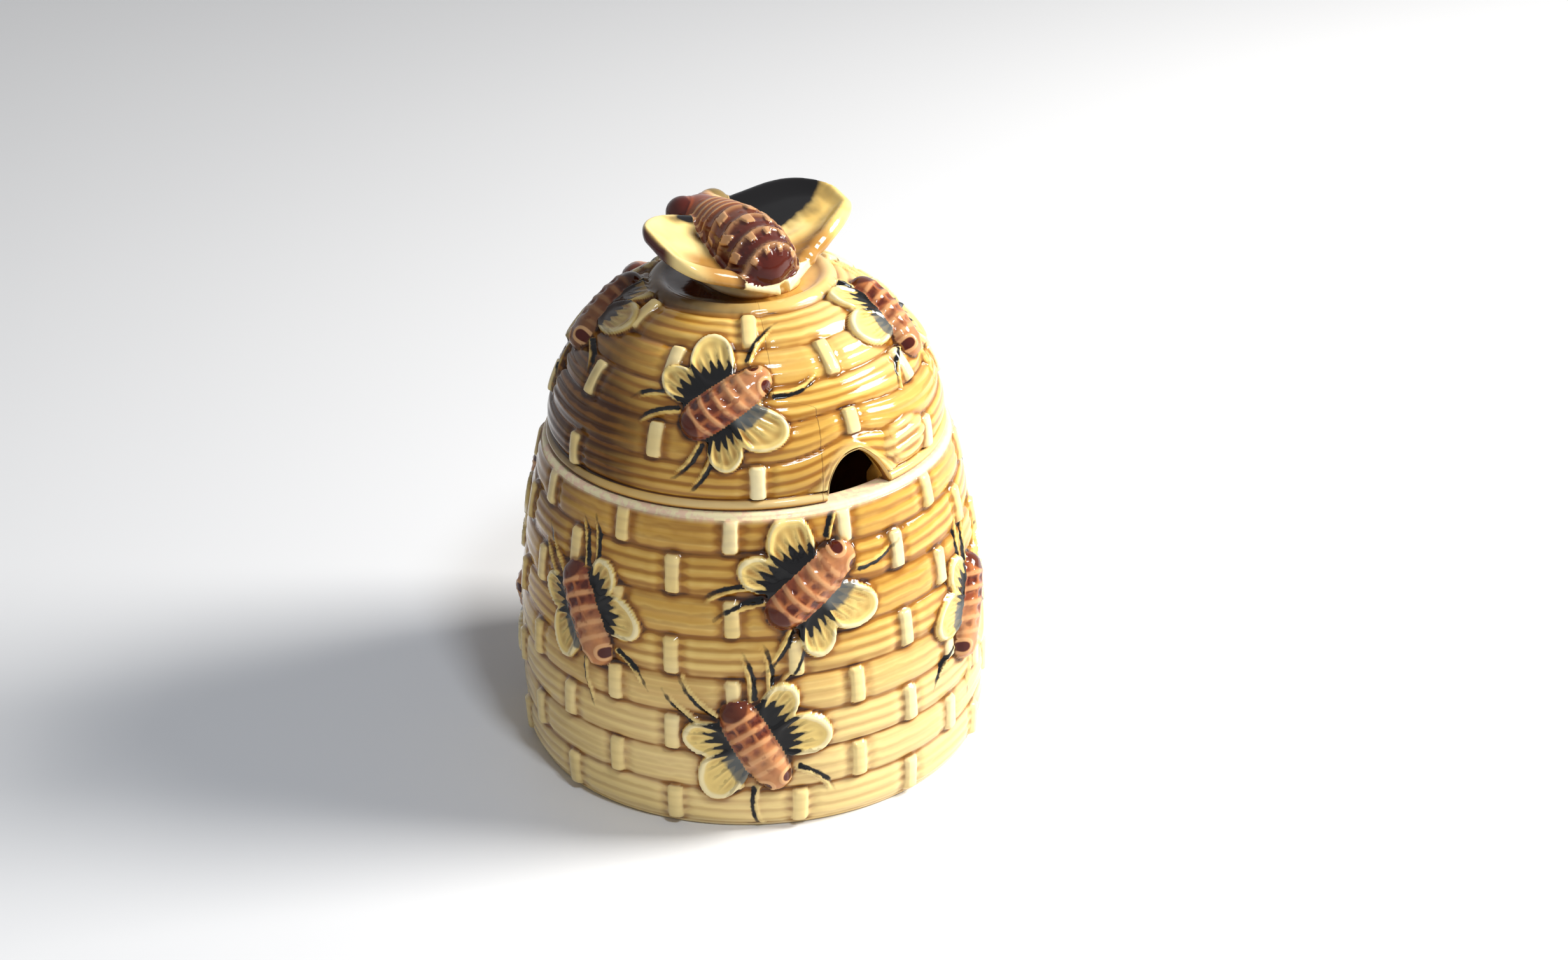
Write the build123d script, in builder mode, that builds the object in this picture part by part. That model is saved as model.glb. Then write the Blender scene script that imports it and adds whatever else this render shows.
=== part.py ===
"""Beehive honey pot in glazed ceramic: the pot, its loose lid with a spoon notch, and the bee knob.

Millimetres, +Z up. The origin is the centre of the foot on the table, and -Y is the side of the
spoon notch. Turns are measured about +Z from -Y, positive towards +X.
"""

import os
from math import asin, cos, degrees, radians, sin, sqrt

from build123d import *

# Pot: a barrel of straw coils, one arc in section from foot to rim
band_height = 7.9
band_count = 8
foot_strip = 1.0  # plain strip under the lowest coil
foot_radius = 45.0
foot_ring_width = 8.0
foot_recess = 1.2
belly_radius = 46.5
belly_height = 14.0
rim_radius = 39.9
rim_bevel = 0.8
rim_depth = 5.0  # height of the thick ring round the mouth
rim_slope = 1.0  # height of the step from the ring to the wall
mouth_radius = 35.4
pot_wall = 4.0
pot_floor = 5.0
floor_round = 9.0

coil_bulge = 0.8  # a coil's crest over the grooves beside it

# Lid: a dome of straw coils over a rolled edge
seat_radius = 38.0  # outer edge of the flat that lies on the rim
edge_radius = 39.1
edge_height = 1.9
dome_radius = 38.7
dome_rise = 32.5
lid_band_angle = 12.25  # each coil's share of the dome's ellipse, in degrees
lid_band_count = 5
crown_radius = 13.6  # flat land that carries the knob
crown_step = 0.4  # the land over the last groove's crest line
crown_ring_bulge = 0.9
crown_ring_slope = 1.2
lid_wall = 3.6
flange_clearance = 0.5
flange_thickness = 2.4
flange_depth = 3.5

# Spoon notch in the lid's edge, with a raised hood round it
notch_width = 14.6
notch_height = 8.9
notch_leg = 2.2  # straight part of each side
hood_width = 4.0
hood_bulge = 1.0

# Stitches that tie the coils
stitch_width = 2.8
stitch_bulge = 0.6  # over the coil's crest
stitch_root = 2.0  # under the coil's crest
stitch_gap = 0.06  # share of the coil left at each end of a stitch
pot_stitch_count = 12
pot_stitch_turn = 7.4
lid_stitch_count = 6
lid_stitch_turn = 30.0

# Bees in relief, placed by turn, height (an angle on the dome for the lid) and the head's heading
bee_root = 1.6  # under the coil's crest
body_rise = 2.4  # over the coil's crest
body_taper = 28.0
wing_rise = 0.8
wing_taper = 12.0
abdomen = (-4.9, 0.0, 6.6, 4.5)  # place along and across the bee, half its length and width
thorax = (2.7, 0.0, 4.2, 4.0)
head = (7.6, 0.0, 3.4, 3.6)
fore_wing = (2.2, 9.0, 5.2, 5.4)
hind_wing = (-5.2, 7.8, 4.1, 4.4)
lid_bee_scale = 0.9
pot_bees = [
    (-17.7, 50.0, 38.0),
    (-32.6, 18.9, -63.0),
    (-76.5, 40.5, -62.0),
    (28.5, 33.0, 53.0),
    (80.0, 49.5, 142.0),
    (118.0, 20.0, -63.0),
    (148.0, 46.0, 38.0),
    (-138.0, 19.5, 60.0),
    (-160.0, 48.0, -120.0),
    (-118.0, 44.0, 125.0),
]
lid_bees = [
    (-37.0, 31.5, 36.0),
    (41.0, 46.0, -119.0),
    (-112.0, 46.0, -59.0),
    (113.0, 31.0, 40.0),
    (-176.0, 34.0, -140.0),
]

# Knob: a large bee with raised wings on a low oval base
knob_base_length = 25.0
knob_base_width = 17.0
knob_base_height = 4.6
knob_base_taper = 28.0
knob_bee_height = 8.6  # middle of the body's axis over the crown
knob_bee_length = 29.0
knob_bee_radius = 6.1
knob_bee_pitch = 12.0  # tail down, in degrees
knob_bee_roll = 6.0  # left wing up
knob_eye_radius = 2.4
knob_wing_height = 6.0  # middle of the wings over the crown
knob_wing_reach = 24.0
knob_wing_chord = 22.0
knob_wing_thickness = 2.6
knob_wing_lift = 14.0
knob_wing_pitch = 17.0

pot_height = foot_strip + band_count * band_height
arc_radius = ((pot_height - belly_height) ** 2 + (belly_radius - rim_radius) ** 2) / (
    2 * (belly_radius - rim_radius)
)
dome_base = pot_height + edge_height
dome_top_angle = lid_band_angle * lid_band_count
crown_height = dome_base + dome_rise * sin(radians(dome_top_angle)) + crown_step
waist_height = (belly_height + pot_height) / 2
half_turn = 180


def pot_point(height, offset=0.0):
    """Point on the pot's arc at a height, moved outwards by an offset."""
    drop = arc_radius - sqrt(arc_radius**2 - (height - belly_height) ** 2)
    return (belly_radius - drop + offset, height)


def dome_point(angle, offset=0.0):
    """Point on the dome's ellipse at an angle from its base, moved outwards by an offset."""
    return (
        (dome_radius + offset) * cos(radians(angle)),
        dome_base + (dome_rise + offset) * sin(radians(angle)),
    )


def coil_section(point_at, start, pitch, count):
    """Points along a row of coils: a groove, then each coil's crest and the groove after it."""
    points = [point_at(start, -coil_bulge)]
    for coil in range(count):
        points.append(point_at(start + (coil + 0.5) * pitch))
        points.append(point_at(start + (coil + 1) * pitch, -coil_bulge))
    return points


def stitch_section(point_at, low, pitch):
    """Section of a stitch over one coil, with its root in the wall."""
    near, far = low + stitch_gap * pitch, low + (1 - stitch_gap) * pitch
    return [
        point_at(near, stitch_bulge),
        point_at(far, stitch_bulge),
        point_at(far, -stitch_root),
        point_at(near, -stitch_root),
    ]


def stitches(point_at, start, pitch, coils, turn, count):
    """Stitches over every other coil: rings of their section, kept only inside radial bars."""
    with BuildPart() as ties:
        with BuildSketch(Plane.XZ):
            for coil in coils:
                with BuildLine():
                    Polyline(*stitch_section(point_at, start + coil * pitch, pitch), close=True)
                make_face()
        revolve(axis=Axis.Z)
        with BuildSketch():
            for bar in range(count // 2):
                angle = turn - half_turn / 2 + 2 * half_turn * bar / count
                Rectangle(4 * belly_radius, stitch_width, rotation=angle)
        extrude(amount=crown_height, mode=Mode.INTERSECT)
    return ties.part


def wall_plane(turn, point, tilt, heading):
    """Plane on a wall that leans back by a tilt: z outwards, x along a heading from level."""
    out = Vector(sin(radians(turn)), -cos(radians(turn)), 0)
    level = Vector(cos(radians(turn)), sin(radians(turn)), 0)
    normal = out * cos(radians(tilt)) + Vector(0, 0, 1) * sin(radians(tilt))
    ahead = level * cos(radians(heading)) + normal.cross(level) * sin(radians(heading))
    return Plane(origin=out * point[0] + Vector(0, 0, point[1]), x_dir=ahead, z_dir=normal)


def pot_plane(turn, height, heading, east=0.0, north=0.0):
    """Plane that touches the pot beside a place, moved level and up the wall."""
    turn += degrees(east / pot_point(height)[0])
    height += north
    tilt = degrees(asin((height - belly_height) / arc_radius))
    return wall_plane(turn, pot_point(height), tilt, heading)


def dome_plane(turn, angle, heading, east=0.0, north=0.0):
    """Plane that touches the dome beside a place, moved level and up the wall."""
    reach = sqrt((dome_radius * sin(radians(angle))) ** 2 + (dome_rise * cos(radians(angle))) ** 2)
    angle += degrees(north / reach)
    turn += degrees(east / dome_point(angle)[0])
    normal = Vector(cos(radians(angle)) / dome_radius, sin(radians(angle)) / dome_rise)
    return wall_plane(turn, dome_point(angle), degrees(asin(normal.normalized().Y)), heading)


def relief_form(plane, half_length, half_width, rise, taper):
    """One raised form of a bee: an eight-sided pad with sloped sides, rooted in the wall."""
    with BuildPart() as form:
        with BuildSketch(plane.offset(-bee_root)):
            end, side = 0.42 * half_width, 0.45 * half_length
            quarter = [(half_length, -end), (half_length, end), (side, half_width), (-side, half_width)]
            Polygon(*quarter, *[(-x, -y) for x, y in quarter], align=None)
        extrude(amount=bee_root + rise, taper=taper)
    return form.part


def relief_bee(plane_at, place, scale):
    """Body and wings of a bee on a wall, each form on the plane that touches the wall under it."""
    turn, height, heading = place
    bodies = [(form, body_rise, body_taper) for form in (abdomen, thorax, head)]
    wings = [(form, wing_rise, wing_taper) for form in (fore_wing, hind_wing)]
    wings += [((along, -across, *half), *sizes) for (along, across, *half), *sizes in wings]
    forms = []
    for (along, across, half_length, half_width), rise, taper in bodies + wings:
        east = scale * (along * cos(radians(heading)) - across * sin(radians(heading)))
        north = scale * (along * sin(radians(heading)) + across * cos(radians(heading)))
        plane = plane_at(turn, height, heading, east, north)
        forms.append(relief_form(plane, scale * half_length, scale * half_width, rise, taper))
    return forms


# ---- Pot: revolved coils with stitches and bees, then the hollow ----
with BuildPart() as pot:
    with BuildSketch(Plane.XZ):
        with BuildLine():
            coils = coil_section(pot_point, foot_strip, band_height, band_count)
            ring_inside = foot_radius - foot_ring_width
            Polyline(
                *coils[:-1],
                (rim_radius, pot_height - rim_bevel),
                (rim_radius - rim_bevel, pot_height),
                (0, pot_height),
                (0, foot_recess),
                (ring_inside - foot_recess, foot_recess),
                (ring_inside, 0),
                (foot_radius, 0),
                close=True,
            )
        make_face()
    revolve(axis=Axis.Z)
    for first in (0, 1):
        turn = pot_stitch_turn + first * half_turn / pot_stitch_count
        coils_tied = range(first, band_count, 2)
        add(stitches(pot_point, foot_strip, band_height, coils_tied, turn, pot_stitch_count))
    add([form for place in pot_bees for form in relief_bee(pot_plane, place, 1.0)])
    with BuildSketch(Plane.XZ):
        with BuildLine():
            shoulder = pot_point(pot_height - rim_depth, -pot_wall)
            belly = pot_point(belly_height, -pot_wall)
            Polyline(
                (mouth_radius, pot_height),
                (mouth_radius, shoulder[1] + rim_slope),
                shoulder,
                pot_point(waist_height, -pot_wall),
                belly,
                (belly[0] - floor_round / 4, (belly_height + 2 * pot_floor) / 3),
                (belly[0] - floor_round, pot_floor),
                (0, pot_floor),
                (0, pot_height),
                close=True,
            )
        make_face()
    revolve(axis=Axis.Z, mode=Mode.SUBTRACT)
pot.part.label = "pot"

# ---- Lid: revolved coils, flange, rolled edge, hood, stitches and bees, then hollow and notch ----
with BuildPart() as notch_hood:
    with BuildSketch(Plane.XZ.offset(dome_radius / 2)):
        with Locations((0, pot_height)):
            Ellipse(notch_width / 2 + hood_width, notch_height + hood_width)
        with Locations((0, pot_height)):
            Rectangle(4 * notch_width, 4 * notch_height, align=(Align.CENTER, Align.MAX), mode=Mode.SUBTRACT)
    extrude(amount=dome_radius)
    with BuildSketch(Plane.XZ):
        with BuildLine():
            hood_back = [dome_point(coil * lid_band_angle, hood_bulge) for coil in range(lid_band_count)]
            hood_foot, hood_middle = (edge_radius, pot_height), (0, hood_back[-1][1])
            Polyline(hood_foot, *hood_back, hood_middle, (0, pot_height), close=True)
        make_face()
    revolve(axis=Axis.Z, mode=Mode.INTERSECT)

with BuildPart() as lid:
    with BuildSketch(Plane.XZ):
        with BuildLine():
            flange_radius = mouth_radius - flange_clearance
            flange_low = pot_height - flange_depth
            coils = coil_section(dome_point, 0, lid_band_angle, lid_band_count)
            ring_top = crown_height + crown_ring_bulge
            Polyline(
                (0, flange_low),
                (flange_radius, flange_low),
                (flange_radius, pot_height),
                (seat_radius, pot_height),
                (edge_radius, pot_height + edge_height / 2),
                *coils,
                (coils[-1][0] - crown_ring_slope, ring_top),
                (crown_radius + crown_ring_slope, ring_top),
                (crown_radius, crown_height),
                (0, crown_height),
                close=True,
            )
        make_face()
    revolve(axis=Axis.Z)
    add(notch_hood.part)
    for first in (0, 1):
        turn = lid_stitch_turn + first * half_turn / lid_stitch_count
        coils_tied = range(first, lid_band_count, 2)
        add(stitches(dome_point, 0, lid_band_angle, coils_tied, turn, lid_stitch_count))
    add([form for place in lid_bees for form in relief_bee(dome_plane, place, lid_bee_scale)])
    with BuildSketch(Plane.XZ):
        with BuildLine():
            flange_inside = flange_radius - flange_thickness
            ceiling = crown_height - lid_wall
            inner = [dome_point(coil * lid_band_angle, -lid_wall) for coil in range(1, lid_band_count)]
            Polyline(
                (0, flange_low),
                (flange_inside, flange_low),
                (flange_inside, pot_height),
                *inner,
                (crown_radius, ceiling),
                (0, ceiling),
                close=True,
            )
        make_face()
    revolve(axis=Axis.Z, mode=Mode.SUBTRACT)
    with BuildSketch(Plane.XZ.offset(dome_radius / 2)):
        with BuildLine():
            side = notch_width / 2
            spring = pot_height + notch_leg
            notch_low = pot_height - 2 * flange_depth
            Polyline((side, spring), (side, notch_low), (-side, notch_low), (-side, spring))
            arch = notch_height - notch_leg
            EllipticalCenterArc((0, spring), side, arch, start_angle=0, arc_size=half_turn)
        make_face()
    extrude(amount=dome_radius, mode=Mode.SUBTRACT)
lid.part.label = "lid"

# ---- Bee knob: base, ringed body, eyes and wings ----
knob_plane = Plane(Location((0, 0, crown_height)) * Location((0, 0, 0), (0, knob_bee_roll, 0)))
knob_section = [  # share of the length from the tail, share of the radius
    (0.00, 0.00),
    (0.02, 0.50),
    (0.14, 0.92),
    (0.26, 1.00),
    (0.44, 0.98),
    (0.60, 0.78),
    (0.74, 0.80),
    (0.83, 0.56),
    (0.92, 0.62),
    (1.00, 0.00),
]
with BuildPart() as bee_knob:
    with BuildSketch(Plane.XY.offset(crown_height)):
        RectangleRounded(knob_base_width, knob_base_length, 0.46 * knob_base_width)
    extrude(amount=knob_base_height, taper=knob_base_taper)
    bee_plane = Plane(
        knob_plane.location
        * Location((0, 0, knob_bee_height))
        * Location((0, 0, 0), (knob_bee_pitch, 0, 0))
        * Location((0, 0, 0), (0, 0, half_turn / 2))
    )
    with BuildSketch(bee_plane):
        with BuildLine():
            tail = -knob_bee_length / 2
            Polyline(
                *[(tail + share * knob_bee_length, size * knob_bee_radius) for share, size in knob_section],
                close=True,
            )
        make_face()
    revolve(axis=Axis(bee_plane.origin, bee_plane.x_dir))
    eyes_plane = Plane(bee_plane.location * Location((0.42 * knob_bee_length, 0, 0.25 * knob_bee_radius)))
    with BuildSketch(eyes_plane):
        with BuildLine():
            reach = 2.2 * knob_eye_radius
            Polyline(
                (0, -reach),
                (knob_eye_radius, -0.55 * reach),
                (0.6 * knob_eye_radius, 0),
                (knob_eye_radius, 0.55 * reach),
                (0, reach),
                close=True,
            )
        make_face()
    revolve(axis=Axis(eyes_plane.origin, eyes_plane.y_dir))
    for side in (1, -1):
        wing_plane = Plane(
            knob_plane.location
            * Location((0, 0, knob_wing_height))
            * Location((0, 0, 0), (0, -side * knob_wing_lift, 0))
            * Location((0, 0, 0), (knob_wing_pitch, 0, 0))
        )
        with BuildSketch(wing_plane):
            with BuildLine():
                span = side * knob_wing_reach
                front, back = -0.58 * knob_wing_chord, 0.42 * knob_wing_chord
                fore_tip, hind_tip = (0.90 * span, 0.45 * back), (0.86 * span, 0.68 * front)
                ThreePointArc((0, 0.8 * back), (0.5 * span, back), fore_tip)
                ThreePointArc(fore_tip, (span, 0.2 * front), hind_tip)
                ThreePointArc(hind_tip, (0.5 * span, front), (0, 0.96 * front))
                Line((0, 0.96 * front), (0, 0.8 * back))
            make_face()
        extrude(amount=knob_wing_thickness / 2, both=True)
bee_knob.part.label = "bee_knob"

os.makedirs("parts", exist_ok=True)
export_step(pot.part, "parts/pot.step")
export_step(lid.part, "parts/lid.step")
export_step(bee_knob.part, "parts/bee_knob.step")
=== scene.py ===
"""Glazed beehive honey pot: cast relief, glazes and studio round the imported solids.

Relief is worked out in millimetres over grids of turn and height, and written in metres.
Turns are measured about +Z from -Y, the side of the spoon notch, positive towards +X.
"""

import math

import bpy
import numpy as np
from mathutils import Matrix, Vector


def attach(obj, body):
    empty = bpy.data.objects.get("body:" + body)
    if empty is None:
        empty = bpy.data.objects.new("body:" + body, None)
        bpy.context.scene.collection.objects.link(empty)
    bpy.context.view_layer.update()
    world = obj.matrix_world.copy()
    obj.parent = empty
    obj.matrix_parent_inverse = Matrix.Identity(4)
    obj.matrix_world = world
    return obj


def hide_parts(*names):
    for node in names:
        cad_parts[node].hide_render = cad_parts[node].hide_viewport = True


MM = 0.001

# Pot, as the solids have it
BAND = 7.9
BANDS = 8
FOOT_STRIP = 1.0
BELLY_RADIUS = 46.5
BELLY_HEIGHT = 14.0
RIM_RADIUS = 39.9
RIM_ROUND = 0.8
MOUTH_RADIUS = 35.4
MOUTH_LOW = 60.2  # lower edge of the straight ring inside the mouth
WALL_HIGH = 58.6  # where the inner wall starts below it
POT_WALL = 4.0
POT_FLOOR = 5.0
FLOOR_ROUND = 9.0
FOOT_RECESS = 1.2

# Lid
EDGE_RADIUS = 39.1
EDGE_HEIGHT = 1.9
DOME_RADIUS = 38.7
DOME_RISE = 32.5
LID_BAND_ANGLE = 12.25
LID_BANDS = 5
LID_WALL = 3.6
CROWN_STEP = 0.4  # land under the knob, over the last coil
FLANGE_RADIUS = 34.9
FLANGE_INSIDE = 32.5
FLANGE_DEPTH = 3.5
NOTCH_HALF = 7.3
NOTCH_HEIGHT = 8.2
NOTCH_SLOPE = 1.6  # how straight the right side falls
NOTCH_LIP = 0.75  # how far the arch's edge is rounded
NOTCH_BLOCK = (12.6, 7.0, 7.2, 4.5)  # rounded block right of the notch: aside, up, half sizes
HOOD_RISE = 1.05
BLOCK_RISE = 1.60
CRACK = 8.1  # fine crack in the glaze: how far left of the notch's middle it starts
CRACK_LEAN = 0.056
CRACK_END = (17, 20)  # heights over the seat between which it runs out
NO_CRACK = 9  # distance at which none is painted

# Relief
COIL_BULGE = 0.8
REEDS = 3.5
REED_RISE = 0.08
STITCH_WIDTH = 3.1
STITCH_LENGTH = 7.3
LID_STITCH_LENGTH = 6.7
STITCH_RISE = 0.66  # over the coil's crest
STITCH_CORNER = 0.8
POT_STITCHES = 12
POT_STITCH_TURN = 7.4
LID_STITCHES = 6
LID_STITCH_TURN = 30.0
LID_BEE_SIZE = 0.92
LAYERS = 2  # neighbouring bees are kept on different layers of paint
BEE_REACH = 24  # what lies farther off a bee's middle isn't touched by it
FAR = 99.0
POT_BEES = [  # turn, height, heading of the head from level in degrees, layer, reach of the wings
    (-17.7, 50.0, 38.0, 0, 1.0),
    (-32.6, 18.9, -63.0, 1, 1.0),
    (-76.5, 40.5, -62.0, 0, 0.74),
    (33.5, 32.0, -119.0, 1, 0.80),
    (86.0, 49.5, 142.0, 0, 1.0),
    (118.0, 20.0, -63.0, 1, 1.0),
    (148.0, 46.0, 38.0, 0, 1.0),
    (-138.0, 19.5, 60.0, 0, 1.0),
    (-172.0, 48.0, -120.0, 1, 1.0),
    (-141.0, 43.5, 97.0, 1, 0.8),
]
LID_BEES = [  # turn, angle on the dome, heading, layer, reach of the wings
    (-39.0, 31.8, 36.0, 0, 1.0),
    (45.5, 43.0, -116.0, 1, 1.0),
    (-119.0, 46.0, -59.0, 1, 1.0),
    (113.0, 31.0, 40.0, 0, 1.0),
    (-176.0, 34.0, -140.0, 1, 1.0),
]

POT_TOP = FOOT_STRIP + BANDS * BAND
ARC_RADIUS = ((POT_TOP - BELLY_HEIGHT) ** 2 + (BELLY_RADIUS - RIM_RADIUS) ** 2) / (
    2 * (BELLY_RADIUS - RIM_RADIUS)
)
DOME_BASE = POT_TOP + EDGE_HEIGHT
DOME_TOP_ANGLE = LID_BAND_ANGLE * LID_BANDS
DOME_TOP = DOME_BASE + DOME_RISE * math.sin(math.radians(DOME_TOP_ANGLE))
CROWN_HEIGHT = DOME_TOP + CROWN_STEP

# A bee in its own plane: ahead runs to the head, side is the distance from its middle line
BODY_HALF_LENGTH = 10.5
BODY_HALF_WIDTH = 4.1
BODY_RISE = 3.45
WING_RISE = 1.42
WING_RIM_RISE = 0.42
WEB_RISE = 1.40
LEG_RISE = 1.35
RING_START = -6.9
RING_PITCH = 2.85
RINGS = 5
CELL_PITCH = 2.5
TAIL = (-8.7, 1.7, 3.0)  # dark cap of the tail: middle, half length, half width
EYE = (8.0, 2.35, 1.45)
LOBES = [  # middle ahead and aside, half size ahead and aside, lean
    (2.4, 8.4, 5.0, 5.9, 0.22),
    (-5.0, 7.4, 4.2, 4.9, -0.35),
]
WEB = (-1.4, 3.0, 6.6, 6.6)  # middle ahead and aside, half size ahead and aside
LEGS = [  # start ahead and aside, end ahead and aside, bow
    (-7.6, 7.2, -17.4, 11.0, 1.0),
    (-8.8, 4.4, -18.4, 6.8, 0.8),
    (8.4, 5.0, 17.4, 8.0, 1.1),
]


# ---- Numbers over a grid ----


def smooth(low, high, value):
    """Smooth step from 0 at low to 1 at high."""
    share = np.clip((value - low) / (high - low), 0, 1)
    return share * share * (3 - 2 * share)


def hump(value, middle, width):
    """Rounded bump of height 1."""
    return np.exp(-(((value - middle) / width) ** 2))


def wave_noise(x, y, seed, low, high, count=9):
    """Gentle repeatable unevenness from a few crossing waves, about -1 to 1."""
    rng = np.random.default_rng(seed)
    total = np.zeros(np.broadcast(x, y).shape)
    for _ in range(count):
        direction, phase = rng.uniform(0, 2 * math.pi, 2)
        rate = rng.uniform(low, high)
        total += np.sin(rate * (x * math.cos(direction) + y * math.sin(direction)) + phase)
    return total / math.sqrt(count)


def blur(values, rounds):
    """Softened copy of a grid that is joined round the turn."""
    soft = values.copy()
    for _ in range(rounds):
        soft = 0.25 * np.roll(soft, 1, 1) + 0.5 * soft + 0.25 * np.roll(soft, -1, 1)
        padded = np.pad(soft, ((1, 1), (0, 0)), mode="edge")
        soft = 0.25 * padded[:-2] + 0.5 * soft + 0.25 * padded[2:]
    return soft


def turn_difference(turns, turn):
    return (turns - turn + 180) % 360 - 180


# ---- Relief ----


def coil(share, along, seed):
    """Height of a flattened coil with fine reeds, by the share of its width."""
    body = COIL_BULGE * (1 - np.abs(2 * share - 1) ** 3.0) ** 0.75
    drift = 0.05 * wave_noise(along, 6 * share, seed, low=0.05, high=0.25)
    reeds = np.cos(2 * math.pi * REEDS * (share + drift))
    return body + REED_RISE * reeds * smooth(0.02, 0.15, share) * smooth(0.98, 0.85, share)


def stitch(across, along, width, length):
    """Height and mask of one rounded binding stitch."""
    outside = np.hypot(
        np.maximum(np.abs(across) - width / 2 + STITCH_CORNER, 0),
        np.maximum(np.abs(along) - length / 2 + STITCH_CORNER, 0),
    )
    mask = smooth(1.1, 0.4, outside)
    crown = 1 - 0.22 * (across / (width / 2)) ** 2
    return (COIL_BULGE + STITCH_RISE) * mask * np.clip(crown, 0.5, 1), mask


def leg_line(ahead, leg):
    """Share of the way along a leg, and how far aside its middle lies."""
    start, start_side, end, end_side, bow = leg
    share = np.clip((ahead - start) / (end - start), 0, 1)
    return share, start_side + (end_side - start_side) * share + 4 * bow * share * (1 - share)


def bee_relief(ahead, left):
    """Height of a cast bee over the grooves, with masks of its body and wings."""
    side = np.abs(left)
    end = np.clip(np.abs(ahead) / BODY_HALF_LENGTH, 0, 1)
    width = BODY_HALF_WIDTH * (1 - end**5) ** 0.45 * (1 - 0.10 * smooth(2, 9, ahead)) + 0.01
    round_over = np.clip(1 - (side / width) ** 2.4, 0, 1) ** 0.55
    body = BODY_RISE * round_over * (1 - end**6) ** 0.4
    ring = ahead + 0.10 * left - 0.05 * left**2
    place = (ring - RING_START) / RING_PITCH
    inside = smooth(-0.4, 0.0, place) * smooth(RINGS - 0.6, RINGS - 1.0, place)
    to_ridge = np.abs(place - np.round(place)) * RING_PITCH
    detail = 0.18 * hump(to_ridge, 0, 0.42) * inside * (1 - 0.5 * smooth(0, 4, ahead))
    to_cell = np.abs((side + CELL_PITCH / 2) % CELL_PITCH - CELL_PITCH / 2)
    cells = hump(to_ridge, RING_PITCH / 2, 0.62) * hump(to_cell, 0, 0.75) * inside
    detail = detail - 0.40 * cells * smooth(RINGS - 1.2, RINGS - 1.6, place)
    to_eye = np.hypot(ahead - EYE[0], side - EYE[1])
    detail = detail + 0.30 * hump(to_eye, EYE[2], 0.38) + 0.12 * hump(to_eye, 0, 0.7)
    body = body + detail * smooth(0.3, 1.6, body)
    body_mask = smooth(0.5, 1.3, body)

    wings = np.zeros(ahead.shape)
    for middle, aside, half_ahead, half_side, lean in LOBES:
        along = (ahead - middle) - lean * (side - aside)
        reach = np.hypot(along / half_ahead, (side - aside) / half_side)
        reach = reach + 0.03 * np.sin(3 * np.arctan2(side - aside, along) + middle)
        lobe = smooth(1.05, 0.90, reach) * (WING_RISE + WING_RIM_RISE * hump(reach, 0.84, 0.16))
        wings = np.maximum(wings, lobe)
    middle, aside, half_ahead, half_side = WEB
    root = np.hypot((ahead - middle) / half_ahead, np.maximum(side - aside, 0) / half_side)
    wings = np.maximum(wings, WEB_RISE * smooth(1.05, 0.90, root))
    fan = np.arctan2(ahead + 1.5, side + 4)
    wings = wings + 0.09 * np.cos(45 * fan) * smooth(1.0, 1.3, wings) * hump(side, 8.5, 2.6)
    height = np.maximum(wings, body)

    for leg in LEGS:
        share, middle = leg_line(ahead, leg)
        beyond = np.abs(ahead - (leg[0] + (leg[2] - leg[0]) * share))
        ridge = hump(np.hypot(side - middle + 0.75, beyond), 0, 0.75) * (1 - 0.5 * share)
        height = np.maximum(height, LEG_RISE * smooth(0.1, 0.9, ridge))
    return height, {"body": body_mask, "wing": smooth(0.5, 1.2, wings) * (1 - body_mask)}


def place_bees(offsets, bees, coils, size):
    """Lay bees over the coils: the relief, masks, and each layer's own bee coordinates."""
    relief = coils.copy()
    found = {name: np.zeros(coils.shape) for name in ("body", "wing")}
    distances = np.full((LAYERS, 2) + coils.shape, FAR)
    for layer in range(LAYERS):
        for name in ("ahead", "left", "near"):
            found[f"{name}_{layer}"] = np.zeros(coils.shape)
    for turn, place, heading, layer, reach in bees:
        east, north = offsets(turn, place)
        angle = math.radians(heading)
        ahead = (east * math.cos(angle) + north * math.sin(angle)) / size
        left = (-east * math.sin(angle) + north * math.cos(angle)) / size
        left = np.sign(left) * (np.abs(left) + np.maximum(np.abs(left) - 4, 0) * (1 / reach - 1))
        distance = np.hypot(ahead, left)
        near = distance < BEE_REACH
        height, masks = bee_relief(ahead[near], left[near])
        relief[near] = np.maximum(relief[near], height)
        for name, mask in masks.items():
            found[name][near] = np.maximum(found[name][near], mask)
        nearest, second = distances[layer]
        closer = distance < nearest
        second[...] = np.where(closer, nearest, np.minimum(second, distance))
        nearest[...] = np.where(closer, distance, nearest)
        found[f"ahead_{layer}"][closer] = ahead[closer]
        found[f"left_{layer}"][closer] = left[closer]
    for layer, (nearest, second) in enumerate(distances):
        found[f"near_{layer}"] = smooth(23, 21.5, nearest) * smooth(0.8, 2.0, second - nearest)
    return relief, found


# ---- Sections of revolution ----


def pot_radius(height):
    return BELLY_RADIUS - ARC_RADIUS + np.sqrt(ARC_RADIUS**2 - (height - BELLY_HEIGHT) ** 2)


def dome_section(angle, offset):
    """Radius and height over the dome's ellipse at an angle in degrees."""
    t = np.radians(angle)
    return (DOME_RADIUS + offset) * np.cos(t), DOME_BASE + (DOME_RISE + offset) * np.sin(t)


def dome_angle(height, offset, lowest, highest):
    """Angle on the dome's ellipse in degrees at a height, kept between two sines."""
    sine = np.clip((height - DOME_BASE) / (DOME_RISE + offset), lowest, highest)
    return np.degrees(np.arcsin(sine))


def arc(centre, radius, start, end, count):
    """Points on an arc in the section plane, from one angle to another in degrees."""
    angles = np.radians(np.linspace(start, end, count))
    return [(centre[0] + radius * math.cos(t), centre[1] + radius * math.sin(t)) for t in angles]


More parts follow.
